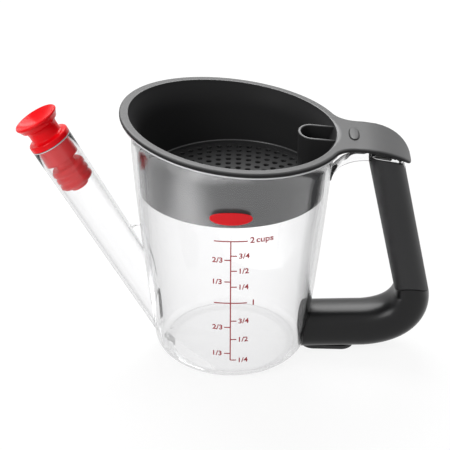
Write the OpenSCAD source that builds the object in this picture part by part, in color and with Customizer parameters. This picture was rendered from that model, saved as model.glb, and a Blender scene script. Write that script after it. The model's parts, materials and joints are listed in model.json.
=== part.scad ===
// Gravy fat separator: clear cup with a low spout, lift-out strainer lid,
// plug in the spout's mouth and a soft-grip handle.
// Millimetres. Origin on the cup's axis at table level, handle towards +X, spout towards -X.

/* [Cup] */
// Outside radius of the cup wall, carried down to table level
cup_base_r = 37.8; // [34:0.5:42]
// Outside radius of the cup wall at full height
cup_rim_r = 50; // [47:0.5:54]
// How fast the wall opens out low down, 1 for a straight cone
cup_swell = 1.4; // [1:0.1:1.8]
// Wall thickness of the cup
cup_wall = 2.2; // [1.8:0.1:2.8]
// Floor thickness of the cup
cup_floor = 3; // [2:0.25:4]
// Radius of the outside bottom corner
cup_corner = 10; // [7:0.5:12]
// Width of the flange round the cup's rim, beyond the wall
flange_w = 4; // [3:0.25:5]
// Thickness of the flange round the cup's rim
flange_t = 1.4; // [1:0.1:2]

/* [Rim] */
// Height of the strainer's rim above the table, on the cup's axis
rim_z = 124.4; // [115:0.2:135]
// Slope of the rim, down towards the handle, in degrees
rim_slant = 6.3; // [4:0.1:8]
// How far the rim sweeps up again from its straight slope, at 50 mm off the axis
rim_sweep = 1; // [0:0.1:1.6]

/* [Spout] */
// Lean of the spout from upright, in degrees
spout_lean = 29.6; // [26:0.2:33]
// Length of the spout's axis, from table level to the mouth
spout_len = 129.3; // [118:0.5:135]
// How far inside the base radius the spout's axis meets the table
spout_inset = 13.5; // [12:0.1:16]
// Outside radius of the spout at its mouth
spout_mouth_r = 10.4; // [9.6:0.1:11.4]
// Outside radius of the spout's axis end at table level
spout_foot_r = 8.9; // [8.2:0.1:9.6]
// Wall thickness of the spout
spout_wall = 1.8; // [1.5:0.1:2.2]
// Height of the top of the web between spout and cup
web_top_z = 67; // [62:0.5:72]
// Thickness of the web
web_t = 3; // [2:0.25:4]
// Height of the top of the port between cup and spout
port_top_z = 26; // [22:0.5:34]

/* [Stopper] */
// Radius of the stopper's dished head
head_r = 11.2; // [10:0.1:12.5]
// Height of the head's rim above the spout's mouth
head_h = 14.6; // [12:0.2:17]
// Depth of the dish in the head
dish_depth = 4; // [2:0.25:5]
// Radius of the waist under the head
waist_r = 7.6; // [6.5:0.1:8.5]
// How far the flange stands out past the spout's mouth
stopper_brim = 0.1; // [0:0.05:0.6]
// Thickness of the flange that seats on the mouth
stopper_flange_t = 3.4; // [2.5:0.1:4]
// Length of the smooth plug below the mouth
plug_len = 9.9; // [8:0.1:12]
// Height of the groove below the plug
groove_h = 3.6; // [2.5:0.1:4.5]
// Radius of the stopper's core in the groove
core_r = 4.9; // [4:0.1:5.5]
// Number of sealing fins
fins = 3; // [2:1:4]
// Spacing of the sealing fins
fin_pitch = 3.7; // [3.2:0.1:4.2]
// How far each fin stands out of the finned body
fin_out = 0.9; // [0.5:0.1:1.4]
// Radial gap between the stopper and the spout's bore
plug_gap = 0.35; // [0.3:0.05:0.6]

/* [Strainer] */
// Depth of the strainer below the rim, on the cup's axis
strainer_depth = 33.4; // [28:0.2:38]
// Wall thickness of the strainer
strainer_wall = 1.3; // [1.2:0.1:2]
// Floor thickness of the strainer
strainer_floor = 2; // [1.5:0.25:2.5]
// Thickness of the rim and of the hood over the handle
lip_t = 2.1; // [1.8:0.1:3]
// How far the rim overhangs the cup's flange
lip_over = 0.6; // [0.4:0.1:1]
// Width of the flat top of the rim
lip_w = 4.4; // [3.5:0.1:5]
// Depth over which the strainer and the cup flare out to the rim
flare_h = 13; // [10:0.5:16]
// Number of rings of holes in the strainer's floor
hole_rings = 8; // [6:1:8]
// Spacing of the rings of holes
hole_pitch = 4.94; // [4.4:0.02:5]
// Diameter of each hole
hole_d = 2.6; // [1.6:0.1:2.8]
// Clearance between the strainer and the cup
strainer_gap = 0.35; // [0.3:0.05:0.6]

/* [Air channel] */
// Half width of the air channel beside the handle
channel_half_w = 8.6; // [7.4:0.2:10]
// How far the air channel reaches in from the strainer's wall
channel_reach = 12.4; // [11:0.2:15]
// Length of the channel's rounded nose
channel_nose = 6.6; // [5:0.2:8]
// Wall thickness of the air channel
channel_wall = 1.4; // [1.1:0.1:1.8]

/* [Hood] */
// How far the hood over the handle reaches past the rim
hood_reach = 32.6; // [30:0.1:36]
// Half width of the hood
hood_half_w = 16.5; // [15:0.25:19]
// Radius of the fillet between rim and hood
hood_fillet = 12; // [8:0.5:15]
// Length over which the hood curves down to its end
hood_curl = 23; // [20:0.1:27]
// Half height of the quarter ellipse that the hood's end follows, seen from the side
hood_bend_h = 14; // [12:0.2:17]
// Lean of the hood's end face from upright, in degrees
nose_lean = 60; // [45:1:66]
// Length of the plain raised pad on the hood, across the handle
pad_len = 12; // [9:0.5:14]
// Width of the raised pad
pad_w = 5.6; // [4:0.2:7]
// Height of the raised pad
pad_h = 0.6; // [0.4:0.1:1]

/* [Handle frame] */
// Width of the clear bridge between cup and grip
bridge_w = 16; // [13:0.5:18]
// Height of the bridge where it leaves the cup's wall
bridge_root_h = 20; // [16:0.5:24]
// Height of the bridge where it meets the grip
bridge_end_h = 9; // [7:0.5:11]
// Thickness of the frame's cap over the grip
cap_t = 1.8; // [1.4:0.1:2.4]
// Thickness of the stem inside the grip
stem_t = 8; // [6:0.25:9.5]
// Width of the stem inside the grip
stem_w = 16; // [13:0.5:18]
// How far the stem goes down into the lower arm
stem_tail = 8; // [6:0.5:10]
// Clearance between pieces of the handle that are fixed together
joint_gap = 0.1; // [0.05:0.05:0.2]

/* [Grip] */
// Distance from the rim's edge out to the grip's axis, at the hood's height
grip_out = 17.8; // [16.5:0.1:19.5]
// Lean of the grip from upright, in degrees
grip_lean = 13.2; // [10:0.2:16]
// Thickness of the grip, front to back of the handle
grip_t = 16.8; // [15:0.2:19]
// Width of the grip
grip_w = 25; // [22:0.5:28]
// Height of the seam between grip and lower arm, at the middle of the handle
seam_z = 35.3; // [32:0.1:39]
// How much higher the seam runs at the sides of the handle
seam_sag = 5.2; // [3:0.2:7]

/* [Lower arm] */
// Height of the arm's middle where it meets the cup
arm_z = 11.9; // [11.7:0.1:13]
// Thickness of the arm, top to bottom
arm_t = 22.6; // [20:0.2:23]
// How much the arm climbs on its way out from the cup
arm_rise = 1.4; // [0.8:0.1:3]
// Distance back from the grip's foot to where the arm starts to bend
bend_len = 24; // [21:0.5:28]
// Radius of the cup's boss inside the arm
boss_r = 7; // [6:0.25:7.25]
// How far the boss stands out of the cup's wall
boss_len = 17; // [13:0.5:20]

/* [Heel pad] */
// Distance of the pad's outer end from the cup's base
heel_out = 25.5; // [22:0.5:30]
// Length of the pad under the arm
heel_len = 27; // [23:0.5:30]
// Width of the pad
heel_w = 13; // [11:0.5:15]
// Thickness of the pad
heel_t = 2.2; // [1.8:0.1:2.6]

/* [Screw] */
// Distance of the screw from the cup's wall
screw_out = 10; // [8:0.5:11]
// Radius of the screw's head
screw_head_r = 3.2; // [2.6:0.1:3.6]
// Thickness of the screw's head
screw_head_t = 2; // [1.6:0.1:2.4]
// Radius of the screw's shank
screw_r = 1.5; // [1.2:0.1:2]
// Length of the screw's shank
screw_len = 9; // [8:0.5:10]

/* [Print] */
// Thickness of the printed scale and badge
print_t = 0.2; // [0.15:0.05:0.3]
// Width of the scale's lines
line_w = 0.8; // [0.5:0.1:1.2]
// Length of the long marks, at each whole cup
long_mark = 17; // [13:0.5:20]
// Length of the short marks
short_mark = 4; // [3:0.25:6]
// Width of the plain badge below the rim
badge_w = 20; // [16:0.5:24]
// Height of the plain badge
badge_h = 6.8; // [5:0.2:8]

/* [Hidden] */
$fn = 96;

// Colours
clear_col = [0.88, 0.91, 0.93, 0.35];
rim_col = [0.36, 0.36, 0.37];
red_col = [0.85, 0.06, 0.08];
grip_col = [0.13, 0.13, 0.14];
arm_col = [0.09, 0.09, 0.1];
steel_col = [0.7, 0.7, 0.72];
print_col = [0.75, 0.15, 0.17];

// Cup
cup_h = rim_z + 8;
wall_steps = 12;
arc_step = 15;
foot_cut = cup_corner / 2;
web_low_z = web_top_z / 2;
flange_r = cup_rim_r + flange_w - 0.2;
weld_gap = 0.05;
seat_gap = 0.3;

// Rim and hood
lip_r = flange_r + lip_over;
lip_in_r = lip_r - lip_w;
flare_over = 3;
flare_steps = 6;
sweep_at = 50;
nose_x = lip_r + hood_reach;
curl_x = nose_x - hood_curl;
bend_l = hood_curl + 0.5;
rim_steps = 20;
curl_steps = 10;
neck_steps = 6;
rim_end = lip_r + 5;
rim_xs = [for (i = [-rim_steps:rim_steps]) rim_end * i / rim_steps];
hood_power = 3;
far = 140;

// Spout and stopper
arc_steps = 6;
head_edge_r = 0.8;
brim_edge = 1.1;
plug_edge = 0.6;
fin_shape = [[0, 0.1], [1, 0.25], [1, 0.7], [0, 0.9]];
end_disc_r = core_r - 0.7;
end_disc_t = 2.4;
foot_x = cup_base_r - spout_inset;
mouth_x = -foot_x - spout_len * sin(spout_lean);
mouth_z = spout_len * cos(spout_lean);
bore_mouth_r = spout_mouth_r - spout_wall;
bore_foot_r = spout_foot_r - spout_wall;

// Strainer
strainer_z = rim_z - strainer_depth;
rim_wall_r = cup_outer_r(rim_z - flare_h);
channel_x = cup_outer_r(strainer_z) - cup_wall - strainer_gap - strainer_wall - channel_reach;
hole_edge = 2.4;
channel_drop = 0.4;
basket_corner = 2;
pad_out = 4;

// Grip, stem and arm
hood_gap = 0.5;
bridge_in = 6;
grip_x = lip_r + grip_out;
grip_top_z = rim_height(grip_x) - lip_t;
stem_x = grip_x + (grip_top_z - seam_z) * tan(grip_lean);
arm_start_x = stem_x - bend_len;
arm_end_z = arm_z + arm_rise;
arm_in_x = cup_base_r - cup_wall;
wall_x = cup_outer_r(arm_z);
heel_end_x = cup_base_r + heel_out;
oval_power = 2.5;
knee_out = 0.8;
knee_drop = 10;
bend_in = 5.5;
bend_up = 1.9;
bend_steps = 14;
arm_sides = 36;
arm_ts = concat([-1.4], [for (i = [0:bend_steps]) i / bend_steps], [1.25, 1.5, 1.75, 2]);

// Printed scale: heights of the marks, whole cups, right-hand fractions and left-hand fractions
print_z = [14.2, 85.7];
whole_marks = [49.6, 85.7];
right_marks = [14.2, 27.2, 38.6, 59.3, 68.7, 77.5];
left_marks = [18.4, 34.7, 62.3, 75.1];
badge_drop = 27;
badge_sides = 48;
badge_power = 2.2;
print_x = 0.7;

// Outside radius of the cup's wall at height z
function cup_outer_r(z) =
    cup_base_r + (cup_rim_r - cup_base_r) * (1 - pow(1 - min(z, cup_h) / cup_h, cup_swell));

// Height of the rim's top over x
function rim_height(x) = rim_z - x * tan(rim_slant) + rim_sweep * pow(x / sweep_at, 2);

// Side view of the surface that lies inset below the top of rim and hood, from x0 out to the end
function hood_curve(inset, x0) =
    concat([for (i = [0:rim_steps]) let (x = x0 + (curl_x - x0) * i / rim_steps)
        [x, rim_height(x) - inset]],
        [for (a = [90 / curl_steps:90 / curl_steps:90]) let (x = curl_x + (bend_l - inset) * sin(a))
            [x, rim_height(x) - inset - (hood_bend_h - inset) * (1 - cos(a))]]);

// Height of the hood's top over x, where it bends down
function hood_top(x) =
    rim_height(x) - hood_bend_h * (1 - sqrt(max(0, 1 - pow((x - curl_x) / bend_l, 2))));

function backwards(pts) = [for (i = [len(pts) - 1:-1:0]) pts[i]];

// Half width of the hood over x
function hood_side(x) =
    hood_half_w * pow(max(0, 1 - pow((x - curl_x) / hood_curl, hood_power)), 1 / hood_power);

function cup_corner_pts(r, z, c) =
    [for (a = [-90:arc_step:0]) [r - c + c * cos(a), z + c + c * sin(a)]];

function cup_wall_pts(z0, inset) =
    [for (i = [1:wall_steps]) let (z = z0 + (cup_h - z0) * i / wall_steps) [cup_outer_r(z) - inset, z]];

// Solid of revolution inside the cup's wall, drawn in by inset, from height z up
module cup_form(inset, z, c) {
    rotate_extrude()
        polygon(concat([[0, z]], cup_corner_pts(cup_outer_r(z + c) - inset, z, c),
            cup_wall_pts(z + c, inset), [[0, cup_h]]));
}

// Everything from drop below the rim's top down to depth below it
module under_rim(drop, depth) {
    rotate([90, 0, 0])
        linear_extrude(height = 2 * far, center = true)
            polygon(concat([for (x = rim_xs) [x, rim_height(x) - drop]],
                [for (x = rim_xs) [-x, rim_height(-x) - depth]]));
}

// Everything below the rim's top by drop, down past the table
module below_rim(drop) {
    rotate([90, 0, 0])
        linear_extrude(height = 2 * far, center = true)
            polygon(concat([for (x = rim_xs) [x, rim_height(x) - drop]],
                [[rim_end, -1], [-rim_end, -1]]));
}

// Flange round the cup's rim, as a full disc
module cup_flange(grow) {
    intersection() {
        under_rim(lip_t + seat_gap - grow, lip_t + seat_gap + flange_t + grow);
        cylinder(r = flange_r + grow, h = 2 * rim_z);
    }
}

// Bell that curves out from the wall's radius, flare_h below the rim, to radius r at the rim's top
module rim_flare(r, wall_r) {
    full = (flare_h + flare_over) / flare_h;
    translate([0, 0, rim_z])
        rotate([0, rim_slant, 0])
            rotate_extrude()
                polygon(concat([[0, -flare_h]], [for (t = [0:full / flare_steps:full + 0.001])
                    [wall_r + (r - wall_r) * t * t, (t - 1) * flare_h]], [[0, flare_over]]));
}

// Outside of the cup, as one solid, grown by a little for what is welded to it
module cup_outside(grow) {
    intersection() {
        union() {
            cup_form(-grow, -grow, cup_corner);
            rim_flare(lip_in_r + strainer_wall + strainer_gap + cup_wall + grow, rim_wall_r + grow);
        }
        below_rim(lip_t + seat_gap - grow);
        cylinder(r = flange_r + grow, h = 3 * rim_z, center = true);
    }
    cup_flange(grow);
}

// Stands a piece drawn on Z on the spout's axis, with its zero at the mouth
module at_mouth() {
    translate([mouth_x, 0, mouth_z])
        rotate([0, -spout_lean, 0])
            children();
}

module spout_bore() {
    at_mouth()
        translate([0, 0, -spout_len])
            cylinder(r1 = bore_foot_r, r2 = bore_mouth_r, h = spout_len + 0.01);
}

module arm_boss(gap) {
    translate([arm_in_x, 0, arm_z])
        rotate([0, 90, 0])
            cylinder(r = boss_r + gap, h = wall_x + boss_len + gap - arm_in_x);
}

module screw_shape(gap) {
    translate([wall_x + screw_out, 0, heel_t]) {
        cylinder(r = screw_head_r + gap, h = screw_head_t + gap);
        cylinder(r = screw_r + gap, h = screw_head_t + screw_len + gap);
    }
}

module cup() {
    color(clear_col)
        difference() {
            union() {
                cup_outside(0);
                arm_boss(0);
            }
            cup_form(cup_wall, cup_floor, cup_corner - cup_wall);
            rim_flare(lip_in_r + strainer_wall + strainer_gap, rim_wall_r - cup_wall);
            intersection() {
                spout_bore();
                translate([-far, -far, cup_floor])
                    cube([2 * far, 2 * far, port_top_z - cup_floor]);
            }
            screw_shape(joint_gap);
        }
}

module spout() {
    color(clear_col)
        difference() {
            union() {
                at_mouth()
                    translate([0, 0, -spout_len])
                        cylinder(r1 = spout_foot_r, r2 = spout_mouth_r, h = spout_len);
                rotate([90, 0, 0])
                    linear_extrude(height = web_t, center = true)
                        polygon([[-foot_x - web_top_z * tan(spout_lean), web_top_z],
                            [-foot_x - web_low_z * tan(spout_lean), web_low_z],
                            [-cup_base_r, web_low_z], [-cup_base_r, web_top_z]]);
            }
            spout_bore();
            cup_form(-weld_gap, -weld_gap, cup_corner);
            translate([-far, -far, foot_cut - far])
                cube([2 * far, 2 * far, far]);
        }
}

// Quarter turns and the like: points on an arc about [r, z] with half axes a and b
function arc_pts(r, z, a, b, from, to) =
    [for (i = [0:arc_steps]) let (t = from + (to - from) * i / arc_steps) [r + a * cos(t), z + b * sin(t)]];

// Stopper, drawn on Z with its zero at the spout's mouth
module stopper() {
    brim_r = spout_mouth_r + stopper_brim;
    bore_taper = (bore_mouth_r - bore_foot_r) / spout_len;
    plug_r = bore_mouth_r - plug_gap - plug_len * bore_taper;
    fin_top = -plug_len - groove_h;
    tip_z = fin_top - fins * fin_pitch;
    fin_r = bore_mouth_r - plug_gap + tip_z * bore_taper;
    body_r = fin_r - fin_out;
    neck_z = head_h / 2;
    neck_out = head_r - waist_r - 2 * head_edge_r;
    color(red_col)
        at_mouth()
            rotate_extrude()
                polygon(concat(
                    [for (t = [0:1 / arc_steps:1])
                        [(head_r - head_edge_r) * t, head_h - dish_depth * (1 - t * t)]],
                    arc_pts(head_r - head_edge_r, head_h - head_edge_r, head_edge_r, head_edge_r, 60, -60),
                    arc_pts(waist_r + neck_out, neck_z, -neck_out, neck_z - dish_depth, 90, 0),
                    arc_pts(brim_r - brim_edge, stopper_flange_t + brim_edge,
                        waist_r + brim_edge - brim_r, brim_edge, 0, -90),
                    arc_pts(brim_r - brim_edge, stopper_flange_t - brim_edge, brim_edge, brim_edge, 75, 0),
                    [[brim_r, seat_gap], [plug_r, seat_gap], [plug_r, plug_edge - plug_len]],
                    [[plug_r - plug_edge, -plug_len], [core_r, -plug_len], [core_r, fin_top]],
                    [for (i = [0:fins - 1], p = fin_shape)
                        [body_r + p[0] * fin_out, fin_top - (i + p[1]) * fin_pitch]],
                    [[body_r, tip_z], [end_disc_r, tip_z], [end_disc_r, tip_z - end_disc_t + plug_edge]],
                    [[end_disc_r - plug_edge, tip_z - end_disc_t], [0, tip_z - end_disc_t]]));
}

// Rim ring with the straight part of the hood, as a flat outline seen from above
module hood_outline() {
    neck_y = hood_half_w + hood_fillet;
    neck_x = sqrt(pow(lip_r + hood_fillet, 2) - pow(neck_y, 2));
    start = atan2(neck_y, neck_x);
    neck = [for (i = [0:neck_steps]) let (a = 180 + start + (90 - start) * i / neck_steps)
        [neck_x + hood_fillet * cos(a), neck_y + hood_fillet * sin(a)]];
    side = concat(neck, [[curl_x, hood_half_w]]);
    circle(r = lip_r);
    polygon(concat([[0, 0]], side, [for (p = backwards(side)) [p[0], -p[1]]]));
}

// Bent part of the hood, as a block drawn square to its leaning end face
module hood_nose() {
    side = [for (i = [0:curl_steps]) let (x = curl_x + hood_curl * sin(90 * i / curl_steps))
        [x * cos(nose_lean) - hood_top(x) * sin(nose_lean), hood_side(x)]];
    rotate([0, nose_lean, 0])
        linear_extrude(height = 2 * far, center = true)
            polygon(concat(side, [for (p = backwards(side)) [p[0], -p[1]]]));
}

// Plate that follows the rim and the hood, seen from the side
module hood_plate(drop, thick) {
    rotate([90, 0, 0])
        linear_extrude(height = 2 * far, center = true)
            polygon(concat(hood_curve(drop, -rim_end),
                backwards(hood_curve(drop + thick, -rim_end))));
}

// Holes of the strainer's floor in staggered rings, left out where the air channel stands
module strainer_holes() {
    for (ring = [0:hole_rings])
        for (i = [0:max(0, 6 * ring - 1)]) {
            a = 90 + 360 / max(1, 6 * ring) * (i + 0.5);
            x = ring * hole_pitch * cos(a);
            y = ring * hole_pitch * sin(a);
            if (x < channel_x - hole_edge || abs(y) > channel_half_w + hole_edge)
                translate([x, y])
                    circle(d = hole_d, $fn = 24);
        }
}

// Air channel's outline seen from above, drawn in by inset
module channel_outline(inset) {
    half = channel_half_w - inset;
    nose = channel_nose - inset;
    bend_x = channel_x + channel_nose;
    polygon(concat([[cup_rim_r, -half]], [for (a = [-90:-arc_step:-270])
        [bend_x + nose * cos(a), half * sin(a)]], [[cup_rim_r, half]]));
}

// Outside of the strainer's basket, drawn in by inset, up to drop below the rim's top
module strainer_form(inset, drop) {
    intersection() {
        union() {
            cup_form(cup_wall + strainer_gap + inset, strainer_z, basket_corner);
            rim_flare(lip_in_r + strainer_wall - inset, rim_wall_r - cup_wall - strainer_gap - inset);
        }
        below_rim(drop);
    }
}

// Rim and hood, one plate of even thickness
module rim_and_hood() {
    intersection() {
        hood_plate(0, lip_t);
        union() {
            translate([0, 0, rim_z - far / 2])
                linear_extrude(height = far)
                    hood_outline();
            hood_nose();
        }
    }
}

module strainer() {
    color(rim_col)
        difference() {
            union() {
                difference() {
                    union() {
                        strainer_form(0, lip_t / 2);
                        rim_and_hood();
                    }
                    basket_inside();
                }
                intersection() {
                    strainer_form(strainer_wall / 2, channel_drop);
                    translate([0, 0, strainer_z])
                        linear_extrude(height = far)
                            channel_outline(0);
                }
                hood_pad();
            }
            translate([0, 0, strainer_z - 1])
                linear_extrude(height = strainer_floor + 2)
                    strainer_holes();
            intersection() {
                basket_inside();
                translate([0, 0, strainer_z - 1])
                    linear_extrude(height = far)
                        channel_outline(channel_wall);
            }
            translate([0, 0, strainer_z - 1])
                linear_extrude(height = strainer_floor + 2)
                    intersection() {
                        circle(r = cup_outer_r(strainer_z) - cup_wall - strainer_gap - strainer_wall);
                        channel_outline(channel_wall);
                    }
        }
}

// Hollow of the strainer's basket, open at the rim
module basket_inside() {
    cup_form(cup_wall + strainer_gap + strainer_wall, strainer_z + strainer_floor, basket_corner);
    rim_flare(lip_in_r, rim_wall_r - cup_wall - strainer_gap - strainer_wall);
}

module hood_pad() {
    pad_x = lip_r + pad_out;
    intersection() {
        hood_plate(-pad_h, pad_h + lip_t / 2);
        translate([pad_x, 0, rim_z / 2])
            linear_extrude(height = rim_z) {
                square([pad_w, pad_len - pad_w], center = true);
                for (side = [-1, 1])
                    translate([0, side * (pad_len - pad_w) / 2])
                        circle(d = pad_w);
            }
    }
}

// Half-moon-ended outline of the stem, grip or pad, long across the handle
module round_bar(thick, wide) {
    square([thick, wide - thick], center = true);
    for (side = [-1, 1])
        translate([0, side * (wide - thick) / 2])
            circle(d = thick);
}

// Point at angle a on an oval, which is an ellipse at power 2 and squarer above that
function oval_point(half_x, half_y, a, power) =
    [half_x * sign(cos(a)) * pow(abs(cos(a)), 2 / power),
        half_y * sign(sin(a)) * pow(abs(sin(a)), 2 / power)];

// Places what is drawn flat on the grip's axis, and draws it out along that axis
module along_grip() {
    translate([stem_x, 0, seam_z])
        rotate([0, -grip_lean, 0])
            linear_extrude(height = 2 * far, center = true)
                children();
}

// Grip's full outline, as a long leaning bar
module grip_bar() {
    along_grip()
        polygon([for (i = [0:arm_sides - 1])
            oval_point(grip_t / 2, grip_w / 2, 360 * i / arm_sides, oval_power)]);
}

// Stem's outline, as a long leaning bar
module stem_bar(gap) {
    along_grip()
        round_bar(stem_t + 2 * gap, stem_w + 2 * gap);
}

// Everything above the curved seam between lower arm and grip
module above_seam(gap) {
    seam_r = (pow(grip_w / 2, 2) + pow(seam_sag, 2)) / (2 * seam_sag);
    translate([0, 0, seam_z + seam_r])
        rotate([0, 90, 0])
            cylinder(r = seam_r + gap, h = far);
    translate([0, -seam_r, seam_z + seam_r])
        cube([far, 2 * seam_r, far]);
}

// Space under the hood, from height z up to a gap below it
module under_hood(gap, z) {
    end_z = rim_height(nose_x) - hood_bend_h;
    rotate([90, 0, 0])
        linear_extrude(height = 2 * far, center = true)
            polygon(concat(hood_curve(lip_t + gap, 0), [[far, end_z], [far, z], [0, z]]));
}

// Clear bridge from the cup's wall to the stem, arched below, grown by gap
module bridge(gap) {
    top_z = rim_height(lip_r) - lip_t;
    root_x = cup_outer_r(top_z - bridge_root_h);
    reach = grip_x - grip_t / 2 - root_x;
    rise = bridge_root_h - bridge_end_h;
    end_x = grip_x + grip_t / 3 + gap;
    over_z = top_z + 2 * lip_t;
    rotate([90, 0, 0])
        linear_extrude(height = bridge_w + 2 * gap, center = true)
            polygon(concat([[root_x - bridge_in, top_z - bridge_root_h]],
                [for (a = [180:-arc_step:90])
                    [root_x + reach + reach * cos(a), top_z - bridge_root_h + rise * sin(a) - gap]],
                [[end_x, top_z - bridge_end_h - gap], [end_x, over_z], [root_x - bridge_in, over_z]]));
}

module handle_frame() {
    color(clear_col)
        difference() {
            intersection() {
                union() {
                    bridge(0);
                    stem_bar(0);
                    difference() {
                        grip_bar();
                        under_hood(hood_gap + cap_t, -far);
                    }
                }
                under_hood(hood_gap, seam_z - stem_tail);
            }
            cup_outside(weld_gap);
        }
}

module grip() {
    color(grip_col)
        difference() {
            intersection() {
                grip_bar();
                under_hood(hood_gap + cap_t + joint_gap, seam_z - joint_gap);
                above_seam(0);
            }
            stem_bar(joint_gap);
            bridge(joint_gap);
        }
}

// Middle of the lower arm: above the seam at t < 0, the seam at t = 0, through the bend
// to t = 1 and in to the cup at t = 2
function arm_mid(t) =
    let (foot = [stem_x, seam_z], inner = [arm_start_x, arm_end_z],
        knee = [stem_x + knee_out, seam_z - knee_drop], bend = [stem_x - bend_in, arm_end_z + bend_up])
    t <= 0 ? foot + t * seam_sag * [tan(grip_lean), -1]
        : t <= 1
        ? foot * pow(1 - t, 3) + knee * 3 * pow(1 - t, 2) * t + bend * 3 * (1 - t) * t * t
            + inner * pow(t, 3)
        : inner + ([arm_in_x, arm_z] - inner) * (t - 1);

// Half thickness of the lower arm
function arm_half(t) =
    let (half = grip_t / 2 / cos(grip_lean))
    half + (arm_t / 2 - half) * (1 - pow(1 - max(0, min(t, 1)), 3));

// Section of the lower arm at t, square to its middle line below the seam and level above it
function arm_ring(t) =
    let (d = t <= 0 ? [0, -1] : arm_mid(t) - arm_mid(t - 0.01), n = [-d[1], d[0]] / norm(d), c = arm_mid(t))
    [for (j = [0:arm_sides - 1])
        let (p = oval_point(arm_half(t), grip_w / 2, 360 * j / arm_sides, oval_power))
        [c[0] + n[0] * p[0], p[1], c[1] + n[1] * p[0]]];

module arm_form() {
    last = len(arm_ts) - 1;
    polyhedron(
        points = [for (t = arm_ts) each arm_ring(t)],
        faces = concat(
            [[for (j = [arm_sides - 1:-1:0]) j]],
            [[for (j = [0:arm_sides - 1]) last * arm_sides + j]],
            [for (i = [0:last - 1], j = [0:arm_sides - 1]) let (k = (j + 1) % arm_sides)
                [i * arm_sides + j, (i + 1) * arm_sides + k, (i + 1) * arm_sides + j]],
            [for (i = [0:last - 1], j = [0:arm_sides - 1]) let (k = (j + 1) % arm_sides)
                [i * arm_sides + j, i * arm_sides + k, (i + 1) * arm_sides + k]]));
}

// Stem's socket in the lower arm
module stem_socket() {
    intersection() {
        stem_bar(joint_gap);
        translate([-far, -far, seam_z - stem_tail - joint_gap])
            cube([2 * far, 2 * far, far]);
    }
}

// Pad outline under the arm, grown by gap
module heel_form(gap, top) {
    translate([heel_end_x - heel_len / 2, 0, -gap])
        linear_extrude(height = top + gap)
            rotate(90)
                round_bar(heel_w + 2 * gap, heel_len + 2 * gap);
}

module lower_arm() {
    color(arm_col)
        difference() {
            arm_form();
            above_seam(joint_gap);
            cup_form(-weld_gap, -weld_gap, cup_corner);
            arm_boss(joint_gap);
            stem_socket();
            heel_form(joint_gap, heel_t);
            screw_shape(joint_gap);
        }
}

module heel_pad() {
    color(grip_col)
        difference() {
            heel_form(0, heel_t - joint_gap);
            cup_outside(seat_gap);
        }
}

module arm_screw() {
    color(steel_col)
        screw_shape(0);
}

// Thin shell on the cup's outside wall, for what is printed there
module print_skin() {
    difference() {
        cup_form(-weld_gap - print_t, cup_corner, 1);
        cup_form(-weld_gap, 0, cup_corner);
    }
}

// Bar on the front of the cup, from x0 to x1 and z0 to z1
module print_bar(x0, x1, z0, z1) {
    intersection() {
        print_skin();
        translate([print_x + x0, -far, z0])
            cube([x1 - x0, far, z1 - z0]);
    }
}

module scale_marks() {
    half = line_w / 2;
    color(print_col) {
        print_bar(-half, half, print_z[0], print_z[1]);
        for (z = whole_marks)
            print_bar(-long_mark / 2, long_mark / 2, z - half, z + half);
        for (z = right_marks)
            print_bar(0, half + short_mark, z - half, z + half);
        for (z = left_marks)
            print_bar(-half - short_mark, 0, z - half, z + half);
    }
}

module badge() {
    color(red_col)
        intersection() {
            print_skin();
            translate([print_x, 0, rim_z - badge_drop])
                rotate([90, 0, 0])
                    linear_extrude(height = far)
                        polygon([for (i = [0:badge_sides - 1]) oval_point(badge_w / 2, badge_h / 2,
                            360 * i / badge_sides, badge_power)]);
        }
}

cup();
spout();
stopper();
strainer();
handle_frame();
grip();
lower_arm();
heel_pad();
arm_screw();
scale_marks();
badge();
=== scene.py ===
# Gravy fat separator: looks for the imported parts, in metres, in the parts' own frame.
import json
import math

import bmesh
import bpy
from mathutils import Matrix, Vector


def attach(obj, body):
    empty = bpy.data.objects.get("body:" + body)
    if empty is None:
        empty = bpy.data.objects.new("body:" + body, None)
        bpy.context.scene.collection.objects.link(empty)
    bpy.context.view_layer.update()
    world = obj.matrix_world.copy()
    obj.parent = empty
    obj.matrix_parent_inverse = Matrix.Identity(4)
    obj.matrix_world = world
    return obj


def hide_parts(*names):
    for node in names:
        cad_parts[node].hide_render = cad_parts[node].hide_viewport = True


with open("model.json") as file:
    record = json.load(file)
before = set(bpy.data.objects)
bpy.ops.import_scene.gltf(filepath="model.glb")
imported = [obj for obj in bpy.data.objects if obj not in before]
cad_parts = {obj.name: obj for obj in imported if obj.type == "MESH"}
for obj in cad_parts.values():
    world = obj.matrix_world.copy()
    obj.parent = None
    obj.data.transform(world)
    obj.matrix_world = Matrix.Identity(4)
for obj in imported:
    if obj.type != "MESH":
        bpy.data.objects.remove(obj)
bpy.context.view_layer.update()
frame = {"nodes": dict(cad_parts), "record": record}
nodes = frame["nodes"]
mm = 0.001
print("parts loaded:", len(nodes))


# Small helpers for meshes

def ringOf(bm, places):
    ring = [bm.verts.new(p) for p in places]
    for i in range(len(ring)):
        bm.edges.new((ring[i - 1], ring[i]))
    return ring


def nextRing(bm, ring, places):
    edges = [bm.edges.get((ring[i - 1], ring[i])) for i in range(len(ring))]
    made = bmesh.ops.extrude_edge_only(bm, edges=edges)["geom"]
    fresh = {v for v in made if isinstance(v, bmesh.types.BMVert)}
    new = [next(e.other_vert(v) for e in v.link_edges if e.other_vert(v) in fresh) for v in ring]
    for v, p in zip(new, places):
        v.co = p
    return new


def loft(rings):
    bm = bmesh.new()
    ring = ringOf(bm, rings[0])
    bm.faces.new(ring)
    for places in rings[1:]:
        ring = nextRing(bm, ring, places)
    bm.faces.new(ring)
    bmesh.ops.recalc_face_normals(bm, faces=bm.faces)
    return bm


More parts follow.
